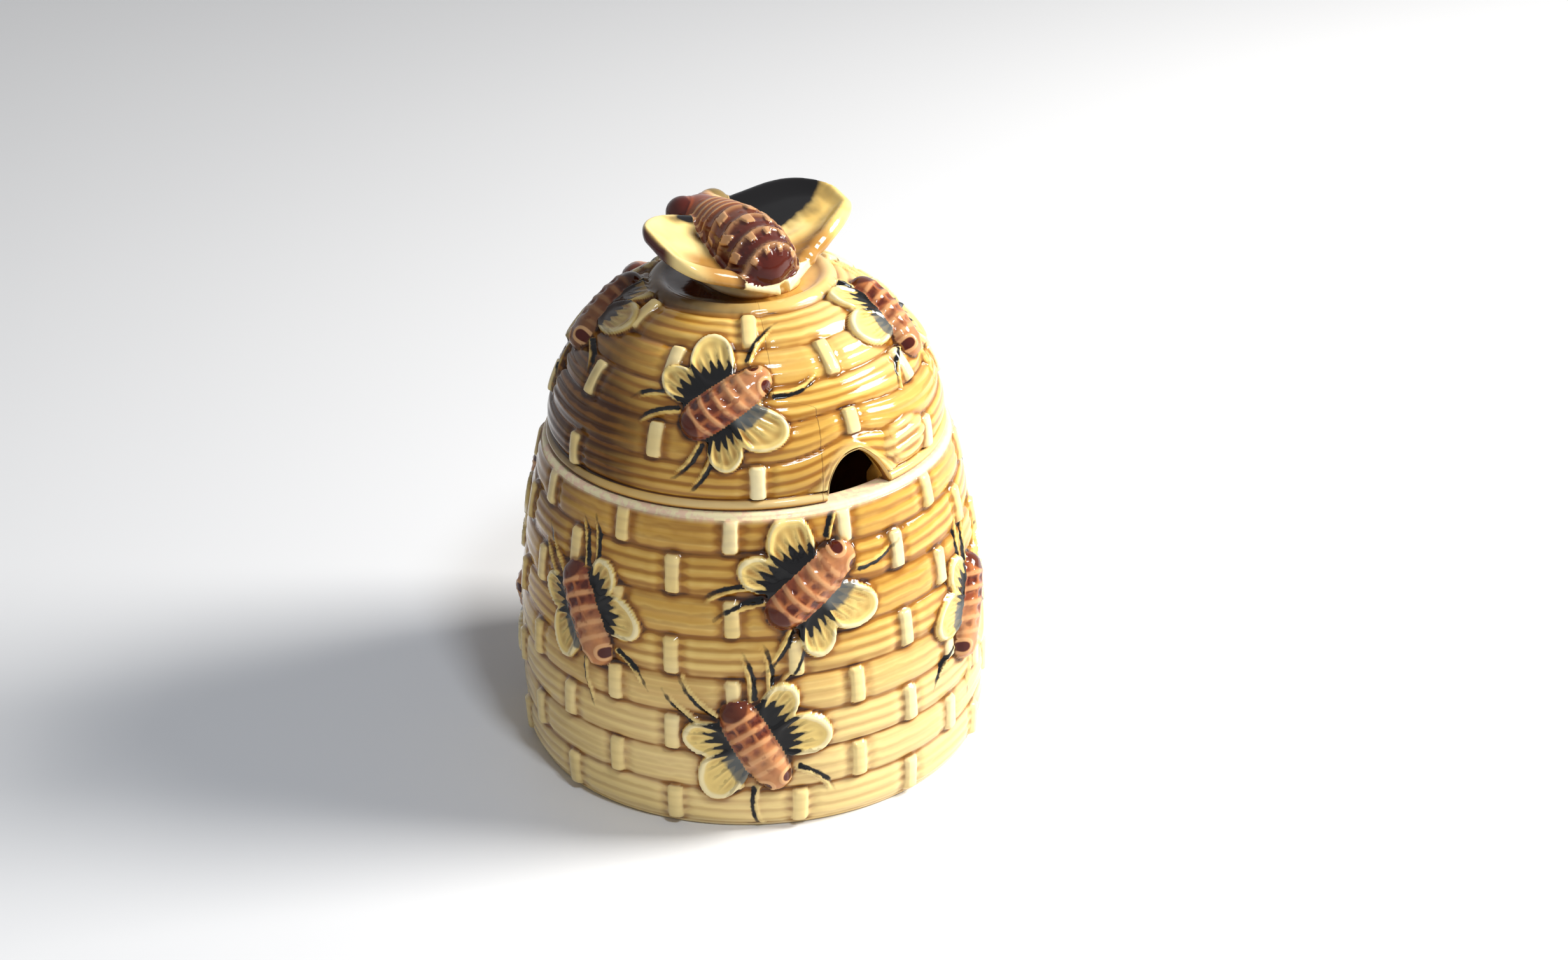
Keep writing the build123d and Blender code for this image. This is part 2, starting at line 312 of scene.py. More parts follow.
def column_turns(extra=()):
    """Turns of the columns: close together round the front, wider apart at the back."""
    front = np.arange(-132, 62, 0.5)
    back = np.arange(62, 228, 0.92)
    return np.unique(np.round(np.concatenate([front, back, np.asarray(extra, float)]), 4))[None, :]


def mesh_object(name, points, masks, low_pole, high_pole):
    """Closed mesh of rows of points round the turn, with a pole at each end, and its masks."""
    rows, columns = points.shape[:2]
    vertices = points.reshape(-1, 3) * MM
    poles = [[0, 0, low_pole * MM], [0, 0, high_pole * MM]]
    index = np.arange(rows * columns).reshape(rows, columns)
    right = np.roll(index, -1, 1)
    quads = np.stack([index[:-1], right[:-1], right[1:], index[1:]], -1).reshape(-1, 4)
    low = np.full(columns, rows * columns)
    low_fan = np.stack([low, right[0], index[0]], -1)
    high_fan = np.stack([index[-1], right[-1], low + 1], -1)
    mesh = bpy.data.meshes.new(name)
    faces = quads.tolist() + low_fan.tolist() + high_fan.tolist()
    mesh.from_pydata(np.vstack([vertices, poles]).tolist(), [], faces)
    for mask_name, values in masks.items():
        attribute = mesh.attributes.new(mask_name, "FLOAT", "POINT")
        attribute.data.foreach_set("value", np.append(values.ravel(), [0, 0]).astype(np.float32))
    mesh.polygons.foreach_set("use_smooth", np.ones(len(mesh.polygons), bool))
    mesh.update()
    piece = bpy.data.objects.new(name, mesh)
    bpy.context.scene.collection.objects.link(piece)
    return piece


def outward(section):
    """Unit normals of a section's points, to the right of the way they run."""
    step = np.gradient(section, axis=0)
    normal = np.stack([step[:, 1], -step[:, 0]], -1)
    return normal / np.linalg.norm(normal, axis=1, keepdims=True)


def spin(radius, height, turns):
    angle = np.radians(turns + 0 * radius)
    return np.stack([radius * np.sin(angle), -radius * np.cos(angle), height], -1)


def blank_masks(shape):
    names = ["pool_and_shade", "pale", "worn", "weave", "light_shade_and_tone", "body", "wing", "crack"]
    names += [f"{name}_{layer}" for layer in range(LAYERS) for name in ("ahead", "left", "near")]
    return {name: np.zeros(shape) for name in names}


def tie_coils(coils, across, along, length):
    """Coils with their stitches, pinched a little beside each one."""
    height, mask = stitch(across, along, STITCH_WIDTH, length)
    pinch = 0.20 * hump(np.abs(across), STITCH_WIDTH / 2 + 0.9, 1.0) * (1 - mask)
    return np.maximum(coils - pinch, height), mask


def past_stitch(turns, band, first, pitch):
    """Turn past the nearest stitch; in every other coil the stitches stand half a pitch on."""
    return (turns - first - 0.5 * pitch * (band % 2) + 0.5 * pitch) % pitch - 0.5 * pitch


def pot_coils(turns, heights):
    """Coils and stitches over the pot's wall, the stitches' mask and the weave's place."""
    place = np.clip((heights - FOOT_STRIP) / BAND, 0, BANDS - 1e-6) + 0 * turns
    band = np.floor(place)
    along = BELLY_RADIUS * np.radians(turns)
    wobble = 0.018 * wave_noise(along, heights, 3, low=0.03, high=0.12)
    share = np.clip(place - band + wobble, 0, 1)
    relief = coil(share, along + 37 * band, 5)
    pitch = 360 / POT_STITCHES
    across = np.radians(past_stitch(turns, band, POT_STITCH_TURN, pitch)) * pot_radius(heights)
    lean = 0.3 * np.sin(7 * band + np.round(turns / pitch)) * (share - 0.5)
    relief, mask = tie_coils(relief, across + lean, (share - 0.5) * BAND, STITCH_LENGTH)
    return relief, mask, band + share


def build_pot():
    turns = column_turns()
    wall_heights = np.linspace(FOOT_STRIP, POT_TOP - RIM_ROUND, 132)
    foot = [(radius, FOOT_RECESS) for radius in (12, 24, 33, 35.6)]
    foot += [(36.3, 0.6), (37.0, 0.05), (37.6, 0.0), (41, 0.0)]
    foot += [(44.2, 0.0), (44.8, 0.12), (45.1, 0.5)]
    wall = [(float(pot_radius(z)) - COIL_BULGE, z) for z in wall_heights]
    rim_centre = (RIM_RADIUS - RIM_ROUND, POT_TOP - RIM_ROUND)
    rim = arc(rim_centre, RIM_ROUND, 20, 90, 4)
    rim += [(r, POT_TOP) for r in (38.2, 37.0, 36.4, MOUTH_RADIUS + 0.5)]
    rim += arc((MOUTH_RADIUS + 0.5, POT_TOP - 0.5), 0.5, 110, 180, 3)
    inside = [(MOUTH_RADIUS, z) for z in (62.5, MOUTH_LOW)]
    inner_heights = np.linspace(WALL_HIGH, BELLY_HEIGHT, 8)
    inside += [(float(pot_radius(z)) - POT_WALL, z) for z in inner_heights]
    floor_centre = (BELLY_RADIUS - POT_WALL - FLOOR_ROUND, BELLY_HEIGHT)
    inside += arc(floor_centre, FLOOR_ROUND, -12, -90, 6)
    inside += [(r, POT_FLOOR) for r in (28, 14)]
    section = np.array(foot + wall + rim + inside)
    first, last = len(foot), len(foot) + len(wall)

    level = wall_heights[:, None]
    coils, stitches, weave = pot_coils(turns, level)
    slope = np.sqrt(1 - ((wall_heights - BELLY_HEIGHT) / ARC_RADIUS) ** 2)[:, None]

    def offsets(turn, height):
        east = np.radians(turn_difference(turns, turn)) * pot_radius(level)
        return east, (level - height) / slope + 0 * turns

    relief, found = place_bees(offsets, POT_BEES, coils, 1.0)
    foot_fade = smooth(FOOT_STRIP - 0.2, FOOT_STRIP + 1.0, level)
    rim_fade = smooth(POT_TOP - RIM_ROUND, POT_TOP - 2.2, level)
    relief = relief * (0.25 + 0.75 * foot_fade)
    relief = relief * rim_fade + COIL_BULGE * (1 - rim_fade)

    full = np.zeros((len(section), turns.shape[1]))
    full[first:last] = relief
    normal = outward(section)
    radius = section[:, :1] + full * normal[:, :1]
    height = section[:, 1:] + full * normal[:, 1:]

    masks = blank_masks(full.shape)
    for name, values in found.items():
        masks[name][first:last] = values
    masks["weave"][first:last] = weave
    masks["pale"][first:last] = 0.75 * stitches * (relief <= coils + 0.02)
    # painted shade: the glaze is darkened on the side at turns -62 to -100, away from the lamps,
    # from 26 mm up
    shade = 0.5 * smooth(-62, -100, turns) * smooth(26, 40, level)
    # the tone mask also darkens the glaze towards the top of the pot and pales it towards the foot
    masks["light_shade_and_tone"][first:last] = 1.35 * smooth(4, 60, level) - 0.9 + shade
    masks["pool_and_shade"][first:last] = blur(relief, 10) - relief
    masks["worn"][last - 3 : last] = np.array([0.25, 0.6, 0.9])[:, None]
    masks["worn"][last : last + len(rim)] = 1
    masks["pale"][: first + 2] = 0.85
    masks["worn"][:first] = 0.4
    masks["crack"] += NO_CRACK
    return mesh_object("pot_glazed", spin(radius, height, turns), masks, FOOT_RECESS, POT_FLOOR)


def notch_top(turns):
    """Height of the notch's arch over the seat: round on the left, sloped on the right."""
    across = np.radians(turn_difference(turns, 0)) * DOME_RADIUS
    share = np.clip(np.abs(across) / NOTCH_HALF, 0, 1)
    arch = NOTCH_HEIGHT * np.where(across < 0, (1 - share**2.8) ** 0.6, 1 - share**NOTCH_SLOPE)
    return arch * smooth(NOTCH_HALF + 0.05, NOTCH_HALF - 0.55, np.abs(across))


def lid_coils(turns, angles):
    """Coils, stitches and hood over the dome, the mask of what is pale, the weave's place."""
    radius, height = dome_section(angles, 0)
    across_notch = np.radians(turns) * DOME_RADIUS
    rise = height - POT_TOP
    lift = 0.55 * hump(across_notch, 0, 9.0) * smooth(21, 7, rise)  # coils arch over the notch
    place = np.clip(angles / LID_BAND_ANGLE - lift, 0, LID_BANDS - 1e-6)
    band = np.floor(place)
    along = np.radians(turns) * radius
    wobble = 0.018 * wave_noise(along, 20 * place, 8, low=0.03, high=0.12)
    share = np.clip(place - band + wobble, 0, 1)
    coils = coil(share, along + 31 * band, 11)
    pitch = 360 / LID_STITCHES
    across = np.radians(past_stitch(turns, band, LID_STITCH_TURN, pitch)) * radius
    coils, stitches = tie_coils(coils, across, (share - 0.5) * BAND * 0.9, LID_STITCH_LENGTH)
    droop = 1 - 0.34 * smooth(-2, 7, across_notch)
    gap = np.hypot(across_notch / (NOTCH_HALF + 0.6), rise / (NOTCH_HEIGHT * droop + 0.8)) - 1
    hood = HOOD_RISE * smooth(0.50, 0.02, gap) * smooth(-0.1, 0.05, gap + 0.1)
    aside, up, half_aside, half_up = NOTCH_BLOCK
    block = np.hypot((across_notch - aside) / half_aside, (rise - up) / half_up)
    ridges = 0.24 * np.cos(2 * math.pi * (rise - 0.10 * (across_notch - aside)) / 2.1)
    hood = np.maximum(hood, (BLOCK_RISE + ridges) * smooth(1.28, 0.55, block))
    hood_mask = smooth(0.5, 1.2, hood)
    lines = 0.10 * np.cos(2 * math.pi * 2.2 * gap / 0.3) * hood_mask * smooth(0.45, 0.25, gap)
    coils = np.maximum(coils, hood + lines)
    pale = np.maximum(stitches * (hood < coils), 0.30 * hood_mask)
    return coils, pale, band + share


def build_lid():
    side = math.degrees(NOTCH_HALF / DOME_RADIUS)
    close_by = np.arange(-1.6, 0.8, 0.14)  # extra columns along the notch's two sides
    turns = column_turns([sign * (side + step) for sign in (-1, 1) for step in close_by])
    arch = notch_top(turns)
    wall_angles = np.linspace(0, DOME_TOP_ANGLE, 104)[:, None]
    coils, pale, weave = lid_coils(turns, wall_angles)
    radius, _ = dome_section(wall_angles, 0)

    def offsets(turn, angle):
        at = math.radians(angle)
        reach = np.hypot(DOME_RADIUS * math.sin(at), DOME_RISE * math.cos(at))
        east = np.radians(turn_difference(turns, turn)) * radius
        return east, np.radians(wall_angles - angle) * reach + 0 * turns

    relief, found = place_bees(offsets, LID_BEES, coils, LID_BEE_SIZE)
    relief = relief * smooth(0, 1.2, wall_angles)
    slant = np.radians(wall_angles)
    tilt = np.stack([np.cos(slant) / DOME_RADIUS, np.sin(slant) / DOME_RISE])
    tilt = tilt / np.linalg.norm(tilt, axis=0)
    wall_radius, wall_height = dome_section(wall_angles, -COIL_BULGE)
    wall_radius = wall_radius + relief * tilt[0]
    wall_height = wall_height + relief * tilt[1]

    # crown: a rounded ring and the land under the knob
    crown_rows = [(5, 0.7), (9, 0.6), (12.4, 0.25), (14.2, 0.05)]
    crown_rows += [(14.9, 0.4), (15.7, 0.8), (16.5, 0.85), (17.2, 0.6)]
    crown_rows = [(radius_out, CROWN_HEIGHT + over) for radius_out, over in crown_rows]
    crown_rows += [(18.0, DOME_TOP + 0.35)]
    # rolled edge, seat and flange, then the inside up to the ceiling
    edge = arc((EDGE_RADIUS - 1.0, POT_TOP + 0.98), 1.0, 70, -80, 8)
    seat = [(37.4, POT_TOP), (36.2, POT_TOP), (35.2, POT_TOP), (FLANGE_RADIUS, POT_TOP - 0.3)]
    flange = [(FLANGE_RADIUS, 62.3), (FLANGE_RADIUS, 61.2)]
    flange += [(34.5, POT_TOP - FLANGE_DEPTH), (32.9, POT_TOP - FLANGE_DEPTH)]
    flange += [(FLANGE_INSIDE, height) for height in (61.2, 62.6, POT_TOP)]
    inner = [dome_section(angle, -LID_WALL) for angle in np.linspace(4, DOME_TOP_ANGLE - 2, 16)]
    ceiling = CROWN_HEIGHT - LID_WALL
    inner += [(13.5, ceiling), (8, ceiling), (4, ceiling)]

    def spread(rows):
        values = np.array([(float(r), float(z)) for r, z in rows])
        return values[:, :1] + 0 * turns, values[:, 1:] + 0 * turns

    crown_r, crown_z = spread(crown_rows)
    under_r, under_z = spread(edge + seat + flange)
    inner_r, inner_z = spread(inner)
    all_r = np.vstack([crown_r, wall_radius[::-1], under_r, inner_r])
    all_z = np.vstack([crown_z, wall_height[::-1], under_z, inner_z])
    first_under = len(crown_rows) + len(wall_angles)
    last_under = first_under + len(under_r)

    # cut the notch: what lies lower than the arch rises to it, with a rounded lip
    low = POT_TOP + arch
    inside_notch = smooth(0.02, 0.9, arch)
    share_under = np.linspace(0, 1, last_under - first_under)[:, None]
    cut_angle = dome_angle(low, 0, 0, 0.9)
    outer_cut = dome_section(cut_angle, 0.35)[0]
    inner_cut = dome_section(cut_angle, -LID_WALL)[0]
    cut_r = outer_cut + (inner_cut - outer_cut) * share_under
    cut_z = low + NOTCH_LIP * (2 * share_under - 1) ** 2
    rows = slice(first_under, last_under)
    all_r[rows] = all_r[rows] + (cut_r - all_r[rows]) * inside_notch
    all_z[rows] = all_z[rows] + (cut_z - all_z[rows]) * inside_notch
    wall_rows = slice(len(crown_rows), first_under)
    inner_rows = slice(last_under, len(all_z))
    for rows, offset, round_over in ((wall_rows, 0.35, 0.5), (inner_rows, -LID_WALL, 0)):
        height = all_z[rows]
        floor = low + NOTCH_LIP
        soft = 0.5
        lifted = floor + soft * np.logaddexp(0, (height - floor) / soft)
        new_height = np.where(arch > 0.02, height + (lifted - height) * inside_notch, height)
        moved = np.clip((new_height - height) / 2.0, 0, 1)
        angle = dome_angle(new_height, offset, -0.05, 0.97)
        target = dome_section(angle, offset)[0] - round_over * smooth(1.2, 0.0, new_height - floor)
        shifted = all_r[rows] + (target - all_r[rows]) * moved
        all_r[rows] = np.where(new_height > height + 1e-4, shifted, all_r[rows])
        all_z[rows] = new_height

    masks = blank_masks(all_r.shape)
    for name, values in found.items():
        masks[name][wall_rows] = values[::-1]
    masks["weave"][wall_rows] = weave[::-1]
    masks["pale"][wall_rows] = (pale * (relief <= coils + 0.02))[::-1]
    masks["pool_and_shade"][wall_rows] = (blur(relief, 10) - relief)[::-1]
    masks["pale"][first_under : first_under + 4] = 0.45
    # painted shade: the underside of the rolled edge and the outer seat are darkened where the lid
    # meets the pot
    masks["pool_and_shade"][first_under + 5 : first_under + len(edge) + 2] = 0.35
    masks["pale"][5 : len(crown_rows)] = 0.4
    wrapped = turn_difference(turns, 0)
    over_seat = all_z - POT_TOP
    masks["crack"] += np.radians(wrapped) * DOME_RADIUS + CRACK - CRACK_LEAN * over_seat
    masks["crack"] += NO_CRACK * smooth(*CRACK_END, over_seat)
    # painted shade: the land round the knob's base is darkened, more so on its left side
    masks["pool_and_shade"][:4] = 0.04 + 0.30 * smooth(-10, -60, wrapped)
    left_back = smooth(-178, -150, wrapped)
    # painted shade: the lid's left side is darkened, fading out towards the back
    masks["light_shade_and_tone"] += smooth(-46, -92, wrapped) * left_back
    # darker on the lid's lower coils
    masks["light_shade_and_tone"][wall_rows] += 0.5 * smooth(44, 20, wall_angles)[::-1]
    # painted light: the lid's front and right side, towards the lamps, are paled
    masks["light_shade_and_tone"][wall_rows] -= 0.45 * smooth(-14, 26, wrapped) * smooth(140, 90, wrapped)
    # painted shade: the crown is darkened on its left side
    masks["light_shade_and_tone"][: len(crown_rows)] += smooth(0, -35, wrapped) * left_back
    return mesh_object("lid_glazed", spin(all_r, all_z, turns), masks, CROWN_HEIGHT + 0.7, ceiling)


# ---- Knob: a large bee on a low oval base ----

KNOB_BASE = (8.5, 12.5, 4.6)  # half width, half length, height
KNOB_SPINE = [  # across, along and over the crown, then half width and half height
    (-1.9, -15.0, 4.0, 1.0, 1.0),
    (-1.9, -14.2, 4.4, 5.0, 4.4),
    (-1.8, -10.8, 5.6, 6.8, 6.0),
    (-1.2, -4.8, 7.5, 7.2, 6.3),
    (-0.8, 0.5, 8.5, 6.5, 5.7),
    (-0.9, 4.6, 8.9, 5.7, 5.0),
    (-1.3, 8.6, 8.9, 5.1, 4.6),
    (-1.9, 12.2, 8.8, 5.6, 4.6),
    (-2.1, 14.8, 8.3, 4.6, 3.8),
    (-2.2, 16.4, 7.8, 1.0, 1.0),
]
KNOB_EYE = (-1.7, 12.4, 10.1, 3.4, 3.2)  # across, along, over the crown, aside, radius
KNOB_RING_PITCH = 4.2
WINGS = {  # side: reach, rise of the tip, front half chord, how the tail edge draws in
    1: (24.5, 0.15, 12.6, 0.5),
    -1: (20.8, 0.29, 8.6, 0.2),
}
WING_THICK = 2.4


def closed_tube(loops):
    """Points and faces of a closed tube through loops of equal count, capped at both ends."""
    points = np.array(loops)
    rows, columns = points.shape[:2]
    index = np.arange(rows * columns).reshape(rows, columns)
    right = np.roll(index, -1, 1)
    faces = np.stack([index[:-1], right[:-1], right[1:], index[1:]], -1).reshape(-1, 4).tolist()
    faces += [index[0][::-1].tolist(), index[-1].tolist()]
    return points.reshape(-1, 3), faces


def knob_spine(count):
    """The spine with its half width and half height, smoothed through its knots."""
    knots = np.array(KNOB_SPINE)
    steps = np.linalg.norm(np.diff(knots[:, :3], axis=0), axis=1)
    place = np.append(0, np.cumsum(steps))
    fine = np.linspace(0, place[-1], count)
    spine = np.stack([np.interp(fine, place, column) for column in knots.T], -1)
    for _ in range(int(count * 0.25)):
        spine[1:-1] = 0.25 * spine[:-2] + 0.5 * spine[1:-1] + 0.25 * spine[2:]
    return fine, spine


def knob_body():
    _, spine = knob_spine(60)
    angles = np.linspace(0, 2 * math.pi, 40, endpoint=False)
    ahead = np.gradient(spine[:, :3], axis=0)
    ahead /= np.linalg.norm(ahead, axis=1, keepdims=True)
    across = np.cross(ahead, (0, 0, 1))
    across /= np.linalg.norm(across, axis=1, keepdims=True)
    over = np.cross(across, ahead)
    loops = [
        row[:3] + row[3] * np.outer(np.cos(angles), a) + row[4] * np.outer(np.sin(angles), o)
        for row, a, o in zip(spine, across, over)
    ]
    return closed_tube(loops)


def knob_base():
    angles = np.linspace(0, 2 * math.pi, 72, endpoint=False)
    half_width, half_length, height = KNOB_BASE
    loops = []
    for level, grow in ((0.02, 0.2), (0.6, 0.4), (1.4, 0.1), (height - 0.9, -1.0), (height, -2.2)):
        x = (half_width + grow) * np.sign(np.cos(angles)) * np.abs(np.cos(angles)) ** 0.75
        y = (half_length + grow) * np.sign(np.sin(angles)) * np.abs(np.sin(angles)) ** 0.75
        loops.append(np.stack([x, y, np.full(len(angles), level)], -1))
    return closed_tube(loops)


def knob_wing(sign):
    """Leaf-shaped wing web with a thick rolled margin and a dished upper side."""
    rows, columns = 56, 48
    reach, rise, chord, tail = WINGS[sign]
    out = 1.0 + (reach - 1.0) * np.sin(np.linspace(0, math.pi / 2, rows))[:, None]
    across = (1 - np.cos(np.linspace(0, math.pi, columns)))[None, :] / 2
    share = np.clip((out - 0.45 * reach) / (0.552 * reach), 0, 1)
    middle = -0.05 * reach * share**2
    high = middle + (chord - 0.05 * out) * (1 - share**2.6) ** 0.45
    low = middle - (15.4 - tail * out) * (1 - share**4) ** 0.5
    along = low + (high - low) * across
    lift = 6.0 + rise * out + 0.30 * along
    edge = np.minimum(np.minimum(along - low, high - along), 1.25 * (reach - out))
    half = WING_THICK / 2
    round_over = np.sqrt(1 - (1 - np.clip(edge / half, 0, 1)) ** 2)
    dish = 0.55 * hump(edge, 1.7, 1.1) - 0.85 * smooth(2.0, 5.5, edge)
    loops = []
    for surface, hollow in ((1, dish), (-1, 0.3 * dish)):
        level = lift + surface * half * round_over + hollow * round_over
        loops.append(np.stack([sign * out + 0 * along, along, level], -1))
    top, bottom = loops
    index = np.arange(rows * columns).reshape(rows, columns)
    quads = np.stack([index[:-1, :-1], index[1:, :-1], index[1:, 1:], index[:-1, 1:]], -1)
    quads = quads.reshape(-1, 4)
    faces = quads.tolist() + (quads[:, ::-1] + rows * columns).tolist()
    root_low = index[0] + rows * columns
    root = np.stack([index[0][:-1], index[0][1:], root_low[1:], root_low[:-1]], -1).tolist()
    if sign < 0:
        faces = [face[::-1] for face in faces]
        root = [face[::-1] for face in root]
    return np.vstack([top.reshape(-1, 3), bottom.reshape(-1, 3)]), faces + root


def knob_eye(sign):
    """Bulging eye as a short rounded tube of loops."""
    across, along, over, aside, radius = KNOB_EYE
    angles = np.linspace(0, 2 * math.pi, 24, endpoint=False)
    loops = []
    for level in np.linspace(-0.96, 0.96, 14):
        size = radius * math.sqrt(1 - level**2)
        out = np.full(len(angles), level * radius)
        ring = np.stack([out, size * np.cos(angles), size * np.sin(angles)], -1)
        loops.append(ring + (across + sign * aside, along, over))
    return closed_tube(loops)


def join_pieces(name, parts, voxel):
    """One closed skin round several closed shapes given in millimetres."""
    points, faces, start = [], [], 0
    for part_points, part_faces in parts:
        points.append(part_points)
        faces += [[corner + start for corner in face] for face in part_faces]
        start += len(part_points)
    mesh = bpy.data.meshes.new(name)
    mesh.from_pydata((np.vstack(points) + (0, 0, CROWN_HEIGHT)).tolist(), [], faces)
    piece = bpy.data.objects.new(name, mesh)
    bpy.context.scene.collection.objects.link(piece)
    skin = piece.modifiers.new("skin", "REMESH")
    skin.mode, skin.voxel_size, skin.use_smooth_shade = "VOXEL", voxel, True
    soften = piece.modifiers.new("soften", "SMOOTH")
    soften.factor, soften.iterations = 0.5, 4
    depsgraph = bpy.context.evaluated_depsgraph_get()
    joined = bpy.data.meshes.new_from_object(piece.evaluated_get(depsgraph))
    piece.modifiers.clear()
    piece.data = joined
    return piece


def mesh_arrays(mesh):
    points = np.zeros(len(mesh.vertices) * 3)
    normals = np.zeros(len(mesh.vertices) * 3)
    mesh.vertices.foreach_get("co", points)
    mesh.vertices.foreach_get("normal", normals)
    return points.reshape(-1, 3), normals.reshape(-1, 3)


def build_knob():
    parts = [knob_base(), knob_body(), knob_wing(1), knob_wing(-1), knob_eye(1), knob_eye(-1)]
    piece = join_pieces("bee_knob_glazed", parts, 0.3)
    points, normals = mesh_arrays(piece.data)
    x, y, z = points.T - np.array([[0], [0], [CROWN_HEIGHT]])
    fine, spine = knob_spine(120)
    # place on the body: how far along the spine, and how far out against its radius
    apart = points[:, None, 1:] - spine[None, :, 1:3] - [0, CROWN_HEIGHT]
    nearest = np.argmin((apart**2).sum(-1), 1)
    along = fine[nearest]
    across = x - spine[nearest, 0]
    over = z - spine[nearest, 2]
    out = np.hypot(across / (spine[nearest, 3] + 0.35), over / (spine[nearest, 4] + 0.35))
    eye_x, eye_y, eye_z, aside, eye_radius = KNOB_EYE
    base_top = KNOB_BASE[2]
    to_eye = np.sqrt((np.abs(x - eye_x) - aside) ** 2 + (y - eye_y) ** 2 + (z - eye_z) ** 2)
    eye = smooth(eye_radius + 0.5, eye_radius + 0.1, to_eye)
    body = np.maximum(smooth(1.16, 1.04, out), eye) * smooth(base_top - 1.6, base_top - 0.6, z)
    length = fine[-1]
    head = smooth(length - 8.5, length - 7.5, along)
    thorax = smooth(length - 14.2, length - 13.4, along) * (1 - head)
    abdomen = (1 - head) * (1 - thorax)
    turn = np.degrees(np.arctan2(across, over))
    place = (along + 0.035 * across**2) / KNOB_RING_PITCH
    to_ridge = np.abs(place - np.round(place)) * KNOB_RING_PITCH
    ringed = smooth(0.4, 0.9, place)
    ridge = hump(to_ridge, 0, 0.55) * abdomen * ringed
    below = (np.ceil(place) - place) * KNOB_RING_PITCH
    wander = 9 * wave_noise(x, y, 4, 0.2, 0.5)
    row_turn = turn + wander + 17 * np.round(place)  # each row of teeth is turned past the last
    squares = smooth(0.05, 0.55, np.cos(np.radians(row_turn * 360 / 40)))
    teeth = smooth(2.3, 1.8, below) * abdomen * ringed * squares * smooth(100, 75, np.abs(turn))
    stripes = hump(np.abs(along % 1.5 - 0.75), 0, 0.32) * thorax
    wing = (1 - body) * smooth(base_top - 0.4, base_top + 0.3, z + 0.12 * np.abs(x))
    wing = wing * np.maximum(smooth(7.0, 9.0, np.abs(x)), smooth(4.6, 5.2, z))
    raised = np.maximum(teeth, 0.8 * ridge)
    relief = body * (0.42 * raised - 0.20 * (1 - raised) * abdomen + 0.22 * stripes)
    relief += 0.25 * hump(to_eye, eye_radius + 0.15, 0.3) * head
    rays = np.arctan2(y + 3, np.abs(x) - 1)
    ribbed = wing * hump(np.abs(x), 10, 5) * smooth(2, -3, y) * smooth(-6, 0, x)
    relief += 0.20 * np.cos(17 * rays) * ribbed
    moved = points + normals * relief[:, None]
    piece.data.vertices.foreach_set("co", (moved * MM).ravel())
    piece.data.update()
    painted_eye = smooth(eye_radius + 0.35, eye_radius + 0.1, to_eye)
    masks = {
        "body": body,
        "wing": wing,
        "ridge": ridge,
        "teeth": teeth,
        "stripes": stripes,
        "head": head,
        "thorax": thorax,
        "eye": painted_eye * smooth(2.4, 3.0, np.abs(x - eye_x)),
        "across": x,
        "along": y,
        "rays": rays,
        "over": z,
    }
    for name, values in masks.items():
        attribute = piece.data.attributes.new(name, "FLOAT", "POINT")
        attribute.data.foreach_set("value", values.astype(np.float32))
    return piece


# ---- Glazes ----


class Value:
    """A number socket that takes part in Python expressions by adding Math nodes."""

    def __init__(self, nodes, socket):
        self.nodes, self.socket = nodes, socket

    def math(self, operation, *operands):
        sockets = dict(enumerate(operands))
        return self.nodes.node("ShaderNodeMath", {"operation": operation}, sockets).out()

    def __add__(self, other):
        return self.math("ADD", self, other)

    __radd__ = __add__

    def __sub__(self, other):
        return self.math("SUBTRACT", self, other)

    def __rsub__(self, other):
        return self.math("SUBTRACT", other, self)

    def __mul__(self, other):
        return self.math("MULTIPLY", self, other)

    __rmul__ = __mul__

    def __abs__(self):
        return self.math("ABSOLUTE", self)

    def square(self):
        return self * self

    def over(self, other):
        return self.math("MAXIMUM", self, other)

    def wave(self, rate):
        return self.math("COSINE", self * rate)

    def turn_to(self, other):
        return self.math("ARCTAN2", self, other)

    def fold(self, half):
        """Distance to the nearest multiple of twice the half."""
        return self.math("PINGPONG", self, half)

    def away(self, other):
        return self.math("SQRT", self.square() + other.square())


class Node:
    def __init__(self, nodes, node):
        self.nodes, self.node = nodes, node

    def out(self, name=0):
        return Value(self.nodes, self.node.outputs[name])


